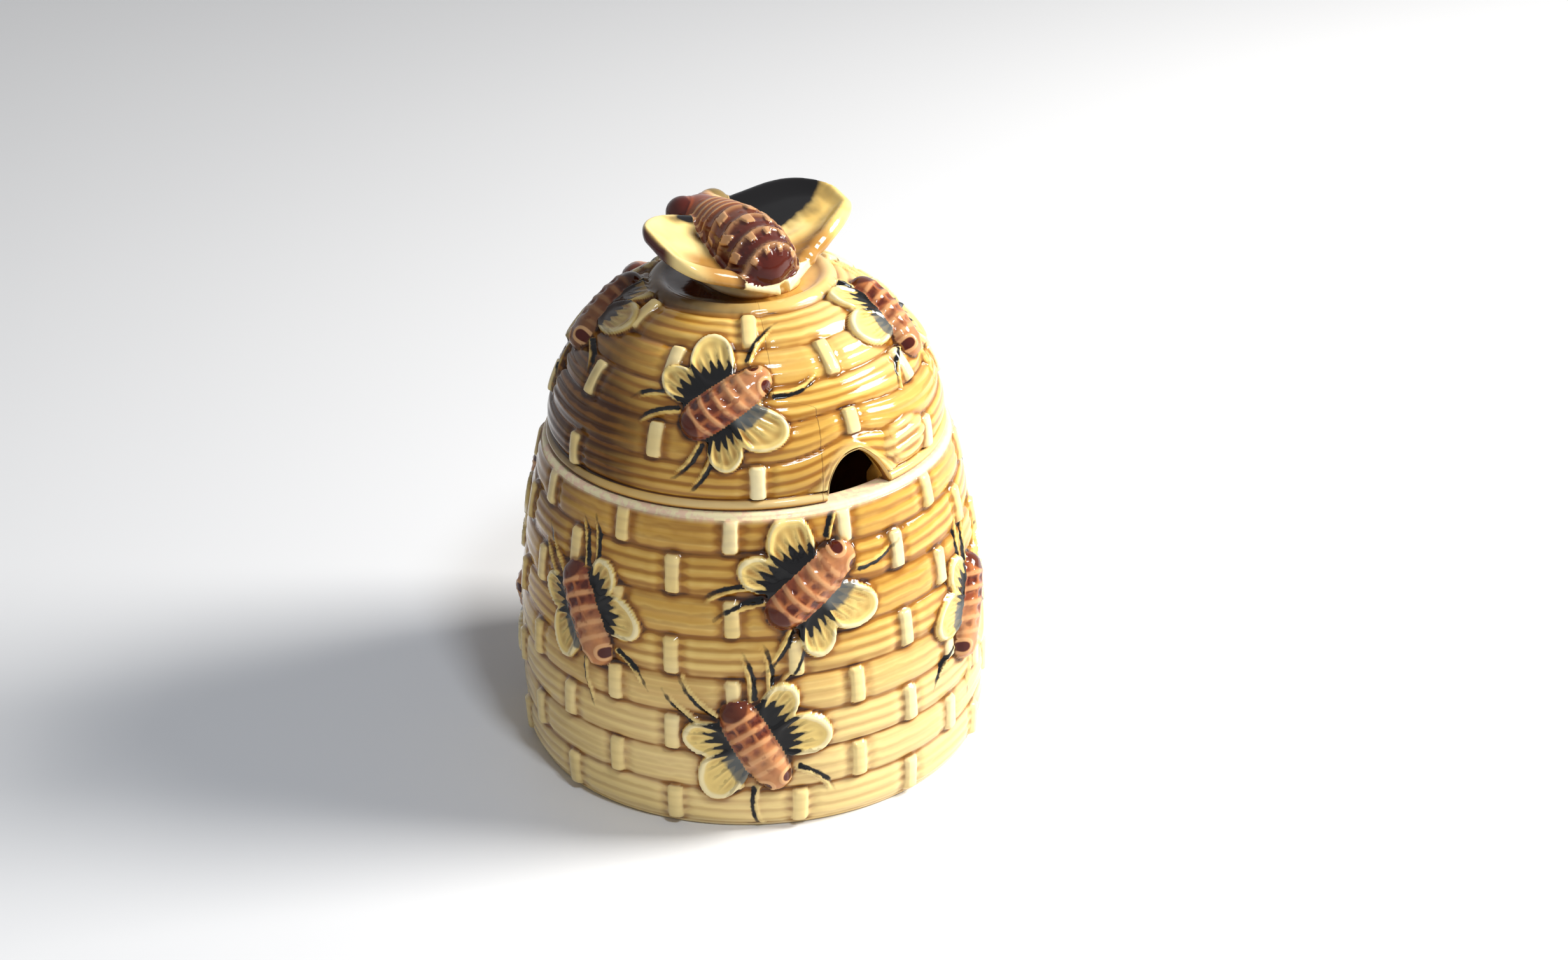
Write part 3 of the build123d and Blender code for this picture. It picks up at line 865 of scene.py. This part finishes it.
class Nodes:
    """A node tree built from expressions."""

    def __init__(self, tree):
        self.tree = tree
        self.tree.nodes.clear()

    def node(self, kind, settings=None, sockets=None):
        node = self.tree.nodes.new(kind)
        for name, value in (settings or {}).items():
            setattr(node, name, value)
        for name, value in (sockets or {}).items():
            if isinstance(name, str) and name not in node.inputs:
                socket = next(item for item in node.inputs if item.identifier == name)
            else:
                socket = node.inputs[name]
            if isinstance(value, Value):
                self.tree.links.new(value.socket, socket)
            else:
                socket.default_value = (*value, 1) if socket.type == "RGBA" else value
        return Node(self, node)

    def mask(self, name):
        return self.node("ShaderNodeAttribute", {"attribute_name": name}).out("Fac")

    def noise(self, scale, detail=3.0, stretch=(1, 1, 1)):
        place = self.node("ShaderNodeTexCoord").out("Object")
        place = self.node("ShaderNodeMapping", {}, {"Vector": place, "Scale": stretch}).out()
        sockets = {"Vector": place, "Scale": scale, "Detail": detail}
        return self.node("ShaderNodeTexNoise", {}, sockets).out("Fac")

    def step(self, value, low, high):
        """Smooth step from 0 at low to 1 at high; low may be the larger."""
        settings = {"interpolation_type": "SMOOTHSTEP"}
        sockets = {"Value": value, "From Min": low, "From Max": high}
        return self.node("ShaderNodeMapRange", settings, sockets).out()

    def share(self, value, low, high):
        """How far a value is from low to high, 0 to 1."""
        sockets = {"Value": value, "From Min": low, "From Max": high}
        return self.node("ShaderNodeMapRange", {}, sockets).out()

    def bump(self, height, strength):
        """Shallow ripple of the glaze, a millimetre high at full strength."""
        sockets = {"Height": height, "Strength": strength, "Distance": MM}
        return self.node("ShaderNodeBump", {}, sockets).out()

    def mix(self, factor, low, high):
        sockets = {"Factor_Float": factor, "A_Color": low, "B_Color": high}
        outputs = self.node("ShaderNodeMix", {"data_type": "RGBA"}, sockets).node.outputs
        return Value(self, next(item for item in outputs if item.identifier == "Result_Color"))


AMBER_DARK = (0.052, 0.013, 0.002)
AMBER = (0.32, 0.125, 0.014)
HONEY = (0.61, 0.335, 0.062)
STRAW = (0.84, 0.57, 0.16)
CREAM = (0.88, 0.67, 0.28)
PALE_CREAM = (0.93, 0.80, 0.47)
WORN = (0.88, 0.60, 0.41)
BEE_DARK = (0.070, 0.008, 0.004)
BEE_MAROON = (0.23, 0.050, 0.018)
BEE_BROWN = (0.47, 0.155, 0.046)
BEE_TAN = (0.80, 0.46, 0.21)
KNOB_MAROON = (0.085, 0.014, 0.007)
KNOB_BROWN = (0.26, 0.085, 0.030)
TOOTH = (0.58, 0.31, 0.135)
WING = (0.82, 0.59, 0.19)
OLIVE = (0.22, 0.145, 0.045)
BLACK = (0.004, 0.0035, 0.004)
SLATE = (0.10, 0.105, 0.10)


def new_glaze(name):
    material = bpy.data.materials.new(name)
    material.use_nodes = True
    return material, Nodes(material.node_tree)


def finish_glaze(glaze, material, colour, roughness, normal, coat):
    sockets = {"Base Color": colour, "Roughness": roughness, "Normal": normal, "Coat Weight": coat}
    sockets |= {"IOR": 1.45, "Specular IOR Level": 0.2, "Coat Roughness": 0.03}
    shader = glaze.node("ShaderNodeBsdfPrincipled", {}, sockets)
    glaze.node("ShaderNodeOutputMaterial", {}, {"Surface": shader.out()})
    return material


def paint_bees(glaze, layer, grain, patch):
    """Masks painted in one layer's bee coordinates: legs, rings, cells, eyes and wing ink."""
    near = glaze.mask(f"near_{layer}")
    ahead, left = glaze.mask(f"ahead_{layer}"), glaze.mask(f"left_{layer}")
    side = abs(left)
    legs = None
    for start, start_side, end, end_side, bow in LEGS:
        share = glaze.share(ahead, start, end)
        middle = share * (end_side - start_side) + start_side + share * (1 - share) * (4 * bow)
        beyond = abs(ahead - (share * (end - start) + start))
        away = beyond.away(side - middle) + share * 0.34 + (grain - 0.5) * 0.9
        leg = glaze.step(away, 0.78, 0.40) * glaze.step(share + (grain - 0.5) * 0.5, 1.15, 0.6)
        legs = leg if legs is None else legs.over(leg)
    place = (ahead + left * 0.10 - left.square() * 0.05 - RING_START) * (1 / RING_PITCH)
    to_ridge = place.fold(0.5) * RING_PITCH
    inside = glaze.step(place, -0.4, 0.0) * glaze.step(place, RINGS - 0.6, RINGS - 1.0)
    ragged = grain - 0.5
    faint = glaze.step(ahead, -3.0, 3.0)
    rows = glaze.step(abs(to_ridge - RING_PITCH / 2) + ragged + faint * 0.3, 1.05, 0.50) * inside
    to_cell = (left * (1 / CELL_PITCH)).fold(0.5) * CELL_PITCH
    cells = rows * glaze.step(to_cell + ragged, 1.15, 0.75) * glaze.step(side, 3.9, 3.3)
    cells = cells * glaze.step(patch - faint * 0.16, 0.36, 0.50) * (1 - faint * 0.35)
    middle, half, half_side = TAIL
    to_tail = ((ahead - middle) * (1 / half)).away(left * (1 / half_side)) + ragged * 0.15
    to_eye = (ahead - EYE[0]).away(side - EYE[1])
    fan = (ahead + 1.5).turn_to(side + 4) + (grain - 0.5) * 0.06
    fingers = fan.wave(45) + fan.wave(19) * 0.5 + (grain - 0.5) * 1.6
    left_side = glaze.step(left, -0.5, 0.5)
    back = left_side * (ahead + 1.5).square() + (1 - left_side) * (ahead + 3.6).square() * 1.1
    ink_edge = left_side * 1.6 + 6.9 - back * (left_side * 0.025 + 0.035) + fingers
    ink = glaze.step(side - ink_edge, 0.35, -0.45)
    slate_edge = 7.0 - (ahead - 2).square() * 0.05 + (grain - 0.5) * 1.2
    slate = glaze.step(side - slate_edge, 0.5, -0.5) * (1 - left_side)
    slate = slate * glaze.step(ahead + left * 0.3, -3.2, -0.8)
    strokes = glaze.step(fan.wave(45) + (grain - 0.5) * 1.8, 0.35, 0.95)
    strokes = strokes * glaze.step(side, 11.5, 9.0)
    flecks = glaze.step(patch + (grain - 0.5) * 0.5, 0.56, 0.66) * glaze.step(ahead, 7, 4)
    wash = glaze.step(side - ink_edge, 1.8, -0.2)
    return {
        "legs": legs * near,
        "thorax": glaze.step(ahead + (patch - 0.5) * 5, -2.5, 2.5) * near,
        "ridge": glaze.step(to_ridge + ragged * 0.4, 0.70, 0.20) * inside * near,
        "cells": cells * near,
        "tail": glaze.step(to_tail, 1.1, 0.8) * near,
        "flecks": flecks * near,
        "eye_ring": glaze.step(abs(to_eye - EYE[2]), 0.52, 0.22) * near,
        "eye": glaze.step(to_eye, 1.2, 0.9) * near,
        "ink": ink * near,
        "slate": slate * near,
        "strokes": strokes * near,
        "wash": wash * near,
    }


def pottery_glaze(name):
    """Honey glaze pooled in the grooves, with painted bees, wings and stitches."""
    material, glaze = new_glaze(name)
    cloud, streak, grain = glaze.noise(30, 3), glaze.noise(230, 2, (1, 1, 0.3)), glaze.noise(650, 2)
    broad, patch = glaze.noise(11, 2), glaze.noise(330, 1)
    weave = glaze.mask("weave")
    reeds = (weave + (streak - 0.5) * 0.10).wave(2 * math.pi * REEDS)
    # the tone mask holds painted shade on the left sides of pot and lid, painted light on the lid's
    # front-right, and a tone that darkens up the pot
    light_shade_and_tone = glaze.mask("light_shade_and_tone")
    # the grooves' mask holds painted shade under the lid's edge and round the knob, and takes a
    # little of the tone mask's painted shade here
    pool_and_shade = glaze.mask("pool_and_shade") + light_shade_and_tone * 0.10 + (cloud - 0.5) * 0.18 + (streak - 0.5) * 0.16
    base = glaze.mix(glaze.step(pool_and_shade, -0.20, 0.02), STRAW, HONEY)
    base = glaze.mix(glaze.step(pool_and_shade - reeds * 0.06, -0.02, 0.20), base, AMBER)
    base = glaze.mix(glaze.step(pool_and_shade, 0.18, 0.52), base, AMBER_DARK)
    base = glaze.mix(glaze.step(broad, 0.55, 0.80) * 0.45, base, AMBER)
    # painted light: paler cream where the tone mask is low, on the lid's front-right; the same
    # paling runs towards the pot's foot
    pale_tone_and_light = glaze.step(light_shade_and_tone, 0.3, -0.9) * glaze.step(pool_and_shade, 0.30, 0.0)
    base = glaze.mix(pale_tone_and_light * 0.36, base, PALE_CREAM)
    # painted shade: dark amber over the left sides of pot and lid and the crown's left
    painted_shade = glaze.step(light_shade_and_tone, 0.55, 1.25) * (glaze.step(pool_and_shade + broad * 0.5, 0.0, 0.4) * 0.5 + 0.45)
    base = glaze.mix(painted_shade, base, AMBER_DARK)
    # reed lines fainter where the tone mask is low: towards the pot's foot and on the lid's
    # painted-light front-right
    reed_fading = glaze.step(light_shade_and_tone, 0.3, -0.7) * 0.45
    reed_line = glaze.step(reeds + (streak - 0.5) * 2.2, 0.1, -1.2)
    base = glaze.mix(reed_line * (0.50 - reed_fading * 0.6), base, AMBER)
    pale = glaze.mask("pale") * (1 - glaze.step(pool_and_shade, -0.05, 0.22) * 0.75) * (cloud * 0.5 + 0.62)
    base = glaze.mix(pale, base, glaze.mix(glaze.step(cloud, 0.35, 0.7), CREAM, PALE_CREAM))

    layers = [paint_bees(glaze, layer, grain, patch) for layer in range(LAYERS)]
    paint = {}
    for key in layers[0]:
        value = layers[0][key]
        for other in layers[1:]:
            value = value.over(other[key])
        paint[key] = value
    wing, body = glaze.mask("wing"), glaze.mask("body")
    wing_colour = glaze.mix(glaze.step(pool_and_shade, -0.05, 0.30), WING, AMBER)
    wing_crest = glaze.step(pool_and_shade + (cloud - 0.5) * 0.5, -0.12, -0.40)
    wing_colour = glaze.mix(wing_crest * 0.75, wing_colour, PALE_CREAM)
    wing_colour = glaze.mix(paint["wash"] * 0.45, wing_colour, OLIVE)
    wing_colour = glaze.mix(paint["strokes"] * 0.45, wing_colour, OLIVE)
    wing_colour = glaze.mix(paint["ink"], wing_colour, BLACK)
    wing_colour = glaze.mix(paint["slate"] * 0.9, wing_colour, SLATE)
    # painted shade: wings darkened to amber on the shaded left sides
    wing_colour = glaze.mix(glaze.step(light_shade_and_tone, 0.6, 1.2) * 0.45, wing_colour, AMBER_DARK)
    base = glaze.mix(glaze.step(wing, 0.25, 0.75), base, wing_colour)
    hollow = glaze.step(pool_and_shade + (grain - 0.5) * 0.5, -0.30, 0.20)
    body_colour = glaze.mix(hollow, BEE_BROWN, BEE_MAROON)
    body_colour = glaze.mix(paint["thorax"] * (broad * 0.4 + 0.05), body_colour, BEE_TAN)
    body_colour = glaze.mix(paint["ridge"] * 0.42, body_colour, BEE_TAN)
    body_colour = glaze.mix(paint["cells"] * 0.92, body_colour, BEE_DARK)
    body_colour = glaze.mix(paint["flecks"] * 0.55, body_colour, BEE_MAROON)
    body_colour = glaze.mix(paint["tail"] * 0.9, body_colour, BEE_DARK)
    # painted shade: bee bodies darkened to amber on the shaded left sides
    body_colour = glaze.mix(glaze.step(light_shade_and_tone, 0.5, 1.1) * 0.72, body_colour, AMBER_DARK)
    body_colour = glaze.mix(paint["eye_ring"] * 0.6, body_colour, BEE_TAN)
    body_colour = glaze.mix(paint["eye"], body_colour, BEE_DARK)
    base = glaze.mix(glaze.step(body, 0.30, 0.70), base, body_colour)
    legs = paint["legs"] * (1 - glaze.step(body, 0.3, 0.7)) * (1 - glaze.step(wing, 0.3, 0.7))
    base = glaze.mix(legs, base, BLACK)
    crack = glaze.step(abs(glaze.mask("crack") + (cloud - 0.5) * 0.7), 0.16, 0.05)
    base = glaze.mix(crack * 0.5, base, AMBER_DARK)
    worn = glaze.mask("worn") * glaze.step(cloud + glaze.mask("worn") * 0.45, 0.40, 0.80)
    base = glaze.mix(worn, base, glaze.mix(glaze.step(grain, 0.4, 0.6), WORN, PALE_CREAM))
    height = cloud + grain * 0.16 + reeds * 0.10
    ripple = glaze.bump(height, 0.16)
    coat = glaze.step(light_shade_and_tone, 1.2, 0.5) * 0.2 + 0.04
    return finish_glaze(glaze, material, base, worn * 0.25 + 0.10, ripple, coat)


def bee_glaze(name):
    """Dark glossy glaze of the knob: maroon body, black wing webs and cream margins."""
    material, glaze = new_glaze(name)
    cloud, grain = glaze.noise(90, 3), glaze.noise(420, 2)
    x, y, z = glaze.mask("across"), glaze.mask("along"), glaze.mask("over")
    rays, body, wing = glaze.mask("rays"), glaze.mask("body"), glaze.mask("wing")
    side = abs(x)
    base = glaze.mix(glaze.step(cloud, 0.35, 0.65), CREAM, PALE_CREAM)
    # painted shade: the base darkens to amber at its foot, where it meets the crown
    base = glaze.mix(glaze.step(z + (cloud - 0.5) * 1.2, 1.3, 0.2), base, AMBER)

    wing_colour = glaze.mix(glaze.step(cloud, 0.3, 0.7), WING, CREAM)
    honeyed = glaze.step(cloud + (grain - 0.5) * 0.2, 0.45, 0.25)
    wing_colour = glaze.mix(honeyed * 0.55, wing_colour, HONEY)
    web = glaze.step(y + (cloud - 0.5) * 3, -1.5, -6.5) * glaze.step(side, 19, 13)
    wing_colour = glaze.mix(web * 0.85, wing_colour, AMBER)
    fingers = rays.wave(13) * 1.6 + rays.wave(29) * 0.9 + (grain - 0.5) * 4.0
    right = glaze.step(x, -1, 1)
    patch = glaze.noise(260, 2, (1, 0.35, 1))
    blot = ((y - 7.0) * 0.145).away((side - 9.6) * 0.088) - fingers * 0.06 + (patch - 0.5) * 0.55
    wing_colour = glaze.mix(glaze.step(blot, 1.42, 1.00) * right * 0.8, wing_colour, OLIVE)
    wing_colour = glaze.mix(glaze.step(blot, 1.12, 0.88) * right, wing_colour, BLACK)
    left_blot = ((y - 6.9 + side * 0.10) * 0.85).away((side - 8.5) * 0.22) - fingers * 0.10
    wing_colour = glaze.mix(glaze.step(left_blot, 1.4, 0.7) * (1 - right) * 0.8, wing_colour, OLIVE)
    wing_colour = glaze.mix(glaze.step(left_blot, 0.9, 0.5) * (1 - right), wing_colour, BLACK)
    root = glaze.step(side * 0.8 + (cloud - 0.5) * 3, 8.6, 6.4) * glaze.step(y, 6, 2) * (1 - right)
    wing_colour = glaze.mix(root, wing_colour, AMBER_DARK)
    tip = glaze.step(side + (cloud - 0.5) * 2, 19.2, 20.4) * (1 - right) * glaze.step(y, -9, -5)
    wing_colour = glaze.mix(tip, wing_colour, BEE_DARK)
    base = glaze.mix(glaze.step(wing, 0.3, 0.7), base, wing_colour)

    body_colour = glaze.mix(glaze.step(cloud, 0.40, 0.70), KNOB_MAROON, BEE_DARK)
    towards_head = glaze.step(y + (cloud - 0.5) * 6, -9, 4)
    body_colour = glaze.mix(towards_head * 0.45, body_colour, KNOB_BROWN)
    body_colour = glaze.mix(glaze.mask("ridge") * 0.55, body_colour, TOOTH)
    teeth = glaze.step(glaze.mask("teeth") + (grain - 0.5) * 0.8, 0.45, 0.80)
    body_colour = glaze.mix(teeth * 0.8, body_colour, TOOTH)
    body_colour = glaze.mix(glaze.mask("thorax") * 0.7, body_colour, KNOB_BROWN)
    body_colour = glaze.mix(glaze.step(glaze.mask("stripes"), 0.3, 0.8) * 0.75, body_colour, TOOTH)
    # painted light: the head is tan on its +x side, towards the window lamp, and maroon on the
    # other
    lit_head_colour = glaze.mix(right, BEE_MAROON, BEE_TAN)
    body_colour = glaze.mix(glaze.mask("head"), body_colour, lit_head_colour)
    # painted highlight: the eye on the +x side is olive, the other dark
    lit_eye_colour = glaze.mix(right, BEE_DARK, OLIVE)
    body_colour = glaze.mix(glaze.mask("eye"), body_colour, lit_eye_colour)
    base = glaze.mix(glaze.step(body, 0.35, 0.65), base, body_colour)
    ripple = glaze.bump(cloud + grain * 0.2, 0.12)
    return finish_glaze(glaze, material, base, cloud * 0.06 + 0.07, ripple, 0.2)


# ---- Studio ----

CAMERA_DISTANCE = 0.5705
CAMERA_TURN = -32.5
CAMERA_ELEVATION = 30.94
CAMERA_YAW, CAMERA_PITCH, CAMERA_ROLL = -0.74, 4.62, 1.85
LENS = 63.45
TABLE_REACH = 3.0
LIT_MIDDLE = Vector((0, 0, 0.055))  # half way up the pot with its lid


def direction(turn, elevation):
    """Unit vector from the middle towards a turn and elevation in degrees."""
    turn, elevation = math.radians(turn), math.radians(elevation)
    flat = math.cos(elevation)
    return Vector((math.sin(turn) * flat, -math.cos(turn) * flat, math.sin(elevation)))


def aim_camera():
    """Camera on a sphere round the foot, then turned a little about its own axes."""
    place = CAMERA_DISTANCE * direction(CAMERA_TURN, CAMERA_ELEVATION)
    ahead = -place.normalized()
    right = ahead.cross(Vector((0, 0, 1))).normalized()
    up = right.cross(ahead)
    yaw = Matrix.Rotation(math.radians(CAMERA_YAW), 3, up)
    ahead, right = yaw @ ahead, yaw @ right
    pitch = Matrix.Rotation(math.radians(CAMERA_PITCH), 3, right)
    ahead, up = pitch @ ahead, pitch @ up
    roll = Matrix.Rotation(math.radians(CAMERA_ROLL), 3, ahead)
    right, up = roll @ right, roll @ up
    data = bpy.data.cameras.new("camera")
    data.lens, data.sensor_width, data.sensor_fit = LENS, 36.0, "HORIZONTAL"
    data.clip_start = 0.01
    camera = bpy.data.objects.new("camera", data)
    frame_matrix = Matrix((right, up, -ahead)).transposed().to_4x4()
    frame_matrix.translation = place
    camera.matrix_world = frame_matrix
    bpy.context.scene.collection.objects.link(camera)
    bpy.context.scene.camera = camera


def area_lamp(name, turn, elevation, distance, size, watts, colour):
    """Soft square lamp that looks at the middle of the pot with its lid."""
    data = bpy.data.lights.new(name, "AREA")
    data.energy, data.color = watts, colour
    data.shape, data.size = "SQUARE", size
    lamp = bpy.data.objects.new(name, data)
    away = direction(turn, elevation)
    lamp.location = LIT_MIDDLE + distance * away
    lamp.rotation_euler = away.to_track_quat("Z", "Y").to_euler()
    bpy.context.scene.collection.objects.link(lamp)


def light_studio():
    """A window to the right, a small front light, and a dim sky that is seen as pale grey."""
    area_lamp(
        "window",
        turn=CAMERA_TURN + 92,
        elevation=34,
        distance=0.8,
        size=0.30,
        watts=12.0,
        colour=(1.0, 0.98, 0.94),
    )
    area_lamp(
        "front_window",
        turn=CAMERA_TURN + 26,
        elevation=52,
        distance=0.9,
        size=0.13,
        watts=3.2,
        colour=(0.84, 0.91, 1.0),
    )
    world = bpy.data.worlds.new("studio")
    bpy.context.scene.world = world
    world.use_nodes = True
    sky = Nodes(world.node_tree)
    path = sky.node("ShaderNodeLightPath")
    seen = path.out("Is Camera Ray").over(path.out("Is Glossy Ray"))
    seen = seen.over(path.out("Is Transmission Ray"))
    dim = sky.node("ShaderNodeBackground", {}, {"Color": (0.93, 0.95, 1.0), "Strength": 0.20})
    pale = sky.node("ShaderNodeBackground", {}, {"Color": (0.76, 0.77, 0.79), "Strength": 1.0})
    mixed = sky.node("ShaderNodeMixShader", {}, {0: seen, 1: dim.out(), 2: pale.out()})
    sky.node("ShaderNodeOutputWorld", {}, {"Surface": mixed.out()})


def lay_table():
    """Pale table that fades into the backdrop."""
    mesh = bpy.data.meshes.new("table")
    reach = TABLE_REACH
    corners = [(-reach, -reach, 0), (reach, -reach, 0), (reach, reach, 0), (-reach, reach, 0)]
    mesh.from_pydata(corners, [], [(0, 1, 2, 3)])
    table = bpy.data.objects.new("table", mesh)
    bpy.context.scene.collection.objects.link(table)
    material, glaze = new_glaze("table_white")
    colour = glaze.mix(glaze.noise(3.0, 2), (0.78, 0.78, 0.79), (0.82, 0.82, 0.82))
    shader = glaze.node("ShaderNodeBsdfPrincipled", {}, {"Base Color": colour, "Roughness": 0.5})
    glaze.node("ShaderNodeOutputMaterial", {}, {"Surface": shader.out()})
    mesh.materials.append(material)


def dress(piece, body, node, material):
    """Glaze a piece, let it ride with its body and stand for its solid."""
    piece.data.materials.clear()
    piece.data.materials.append(material)
    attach(piece, body)
    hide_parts(node)


def corners(box):
    return [[float(value) for value in corner] for corner in box]


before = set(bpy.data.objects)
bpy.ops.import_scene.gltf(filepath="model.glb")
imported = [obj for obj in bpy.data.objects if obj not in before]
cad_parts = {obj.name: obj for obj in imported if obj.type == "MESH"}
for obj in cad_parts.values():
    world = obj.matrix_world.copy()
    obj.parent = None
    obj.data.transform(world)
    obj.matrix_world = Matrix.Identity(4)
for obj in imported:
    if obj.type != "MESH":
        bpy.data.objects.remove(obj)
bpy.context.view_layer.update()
aim_camera()
lay_table()
light_studio()
bpy.context.scene.view_settings.view_transform = "Standard"

honey = pottery_glaze("honey_glaze")
dress(build_pot(), "pot", "pot", honey)
dress(build_lid(), "lid", "lid", honey)
dress(build_knob(), "lid", "bee_knob", bee_glaze("bee_glaze"))
